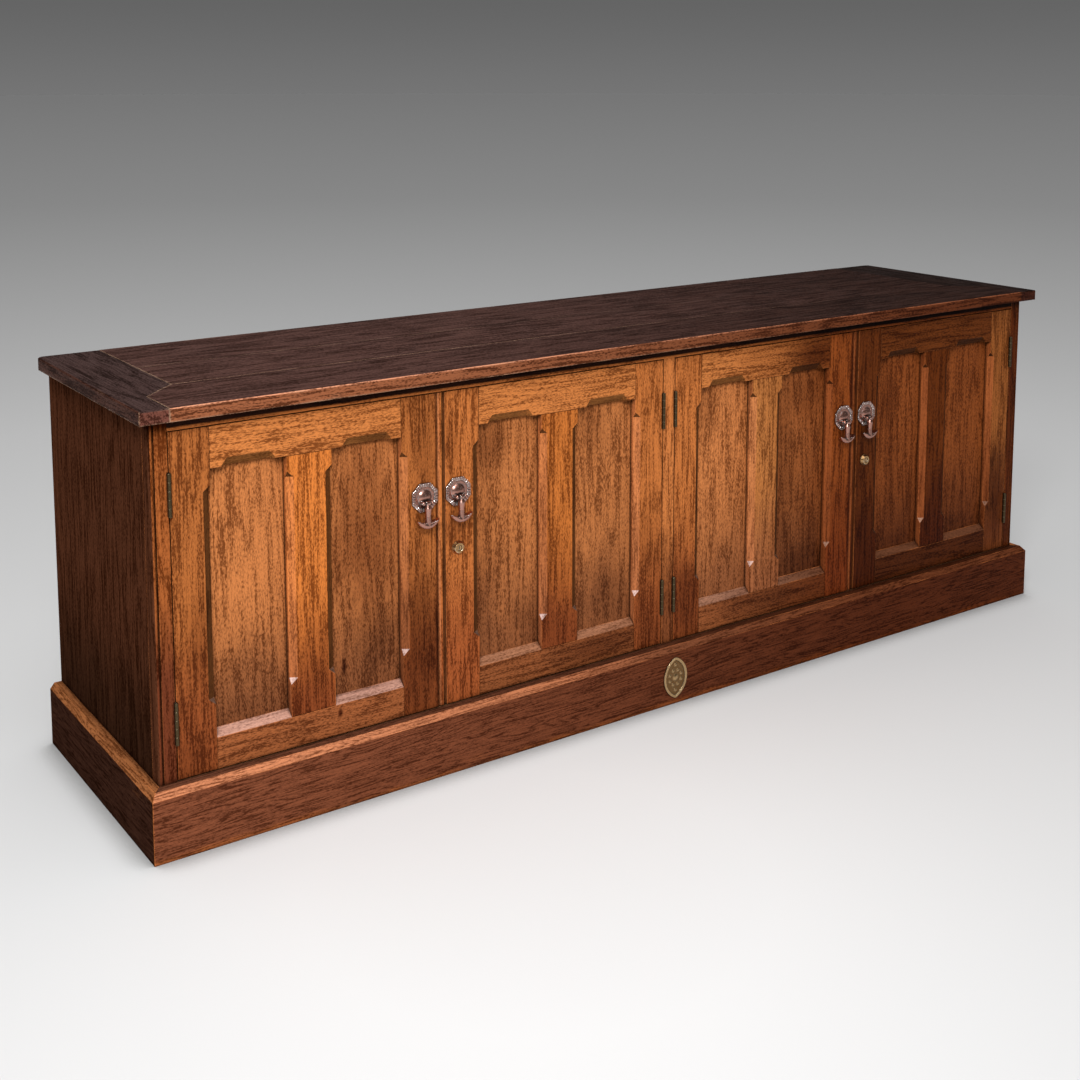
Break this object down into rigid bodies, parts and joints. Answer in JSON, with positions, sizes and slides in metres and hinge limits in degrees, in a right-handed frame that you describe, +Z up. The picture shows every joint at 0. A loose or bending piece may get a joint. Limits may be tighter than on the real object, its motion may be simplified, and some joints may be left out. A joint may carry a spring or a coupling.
{
  "type": "dresser base",
  "caption": "Long low oak dresser base: paired framed doors with stop chamfers and weathered sills, octagonal drop handles, round brass locks, mitred plinth and clamped plank top.",
  "frame": {"origin": "on the floor, under the middle of the box around the object", "axes": "+X to the right when the doors are faced, +Y to the back, +Z up"},
  "size_m": [2.31, 0.5716, 0.788],
  "materials": {
    "oak_top": "very dark waxed oak, finely scratched",
    "oak_side": "dark waxed oak",
    "oak_frame": "waxed oak",
    "oak_door": "waxed orange-brown oak",
    "oak_panel": "waxed orange-brown oak",
    "oak_plinth": "waxed oak, worn pale along its top edge",
    "oak_inside": "dry, unpolished oak",
    "hinge_metal": "tarnished brass",
    "handle_bronze": "reddish bronze, rubbed bright on its edges",
    "lock_brass": "pale polished brass",
    "button_brass": "dull brass",
    "ornament_brass": "yellow brass"
  },
  "bodies": {
    "cabinet": {"top_front_board": "oak_top", "top_inner_boards": "oak_top", "top_left_clamp": "oak_top", "top_right_clamp": "oak_top", "left_side": "oak_side", "right_side": "oak_side", "left_stile": "oak_frame", "centre_stile": "oak_frame", "right_stile": "oak_frame", "head_rail": "oak_frame", "plinth_front": "oak_plinth", "plinth_returns": "oak_plinth", "back_rail": "oak_inside", "bottom_board": "oak_inside", "partition": "oak_inside", "back_boards": "oak_inside", "shelves": "oak_inside", "bearers": "oak_inside", "plinth_back": "oak_inside", "hinge_frame_leaves": "hinge_metal", "hinge_pins": "hinge_metal", "plinth_ornament": "ornament_brass"},
    "door_1": {"door_1_hinge_stile": "oak_door", "door_1_meeting_stile": "oak_door", "door_1_rails": "oak_door", "door_1_muntin": "oak_door", "door_1_panels": "oak_panel", "door_1_hinge_leaves": "hinge_metal", "door_1_handle_plate": "handle_bronze"},
    "door_1_drop": {"door_1_handle_drop": "handle_bronze"},
    "door_1_button": {"door_1_turn_button": "button_brass"},
    "door_2": {"door_2_hinge_stile": "oak_door", "door_2_meeting_stile": "oak_door", "door_2_rails": "oak_door", "door_2_muntin": "oak_door", "door_2_panels": "oak_panel", "door_2_hinge_leaves": "hinge_metal", "door_2_handle_plate": "handle_bronze", "door_2_lock_barrel": "lock_brass"},
    "door_2_drop": {"door_2_handle_drop": "handle_bronze"},
    "door_2_lock": {"door_2_lock_plug": "lock_brass"},
    "door_3": {"door_3_hinge_stile": "oak_door", "door_3_meeting_stile": "oak_door", "door_3_rails": "oak_door", "door_3_muntin": "oak_door", "door_3_panels": "oak_panel", "door_3_hinge_leaves": "hinge_metal", "door_3_handle_plate": "handle_bronze"},
    "door_3_drop": {"door_3_handle_drop": "handle_bronze"},
    "door_3_button": {"door_3_turn_button": "button_brass"},
    "door_4": {"door_4_hinge_stile": "oak_door", "door_4_meeting_stile": "oak_door", "door_4_rails": "oak_door", "door_4_muntin": "oak_door", "door_4_panels": "oak_panel", "door_4_hinge_leaves": "hinge_metal", "door_4_handle_plate": "handle_bronze", "door_4_lock_barrel": "lock_brass"},
    "door_4_drop": {"door_4_handle_drop": "handle_bronze"},
    "door_4_lock": {"door_4_lock_plug": "lock_brass"}
  },
  "joints": [
    {"name": "door_1_swing", "type": "hinge", "parent": "cabinet", "child": "door_1", "pos_m": [-1.098, -0.25475, 0.434], "axis": [0, 0, -1], "range_deg": [0, 150]},
    {"name": "door_1_drop_swing", "type": "hinge", "parent": "door_1", "child": "door_1_drop", "pos_m": [-0.6027, -0.26625, 0.5375], "axis": [-1, 0, 0], "range_deg": [0, 75]},
    {"name": "door_1_button_turn", "type": "hinge", "parent": "door_1", "child": "door_1_button", "pos_m": [-0.6272, -0.22425, 0.711], "axis": [0, 1, 0], "range_deg": [0, 90]},
    {"name": "door_2_swing", "type": "hinge", "parent": "cabinet", "child": "door_2", "pos_m": [-0.025, -0.25475, 0.434], "axis": [0, 0, 1], "range_deg": [0, 84]},
    {"name": "door_2_drop_swing", "type": "hinge", "parent": "door_2", "child": "door_2_drop", "pos_m": [-0.5292, -0.26625, 0.5375], "axis": [-1, 0, 0], "range_deg": [0, 75]},
    {"name": "door_2_lock_turn", "type": "hinge", "parent": "door_2", "child": "door_2_lock", "pos_m": [-0.5292, -0.25225, 0.4345], "axis": [0, 1, 0], "range_deg": [0, 90]},
    {"name": "door_3_swing", "type": "hinge", "parent": "cabinet", "child": "door_3", "pos_m": [0.007, -0.25475, 0.434], "axis": [0, 0, -1], "range_deg": [0, 84]},
    {"name": "door_3_drop_swing", "type": "hinge", "parent": "door_3", "child": "door_3_drop", "pos_m": [0.51, -0.26625, 0.5375], "axis": [-1, 0, 0], "range_deg": [0, 75]},
    {"name": "door_3_button_turn", "type": "hinge", "parent": "door_3", "child": "door_3_button", "pos_m": [0.4855, -0.22425, 0.711], "axis": [0, 1, 0], "range_deg": [0, 90]},
    {"name": "door_4_swing", "type": "hinge", "parent": "cabinet", "child": "door_4", "pos_m": [1.098, -0.25475, 0.434], "axis": [0, 0, 1], "range_deg": [0, 150]},
    {"name": "door_4_drop_swing", "type": "hinge", "parent": "door_4", "child": "door_4_drop", "pos_m": [0.5835, -0.26625, 0.5375], "axis": [-1, 0, 0], "range_deg": [0, 75]},
    {"name": "door_4_lock_turn", "type": "hinge", "parent": "door_4", "child": "door_4_lock", "pos_m": [0.5835, -0.25225, 0.4345], "axis": [0, 1, 0], "range_deg": [0, 90]}
  ]
}
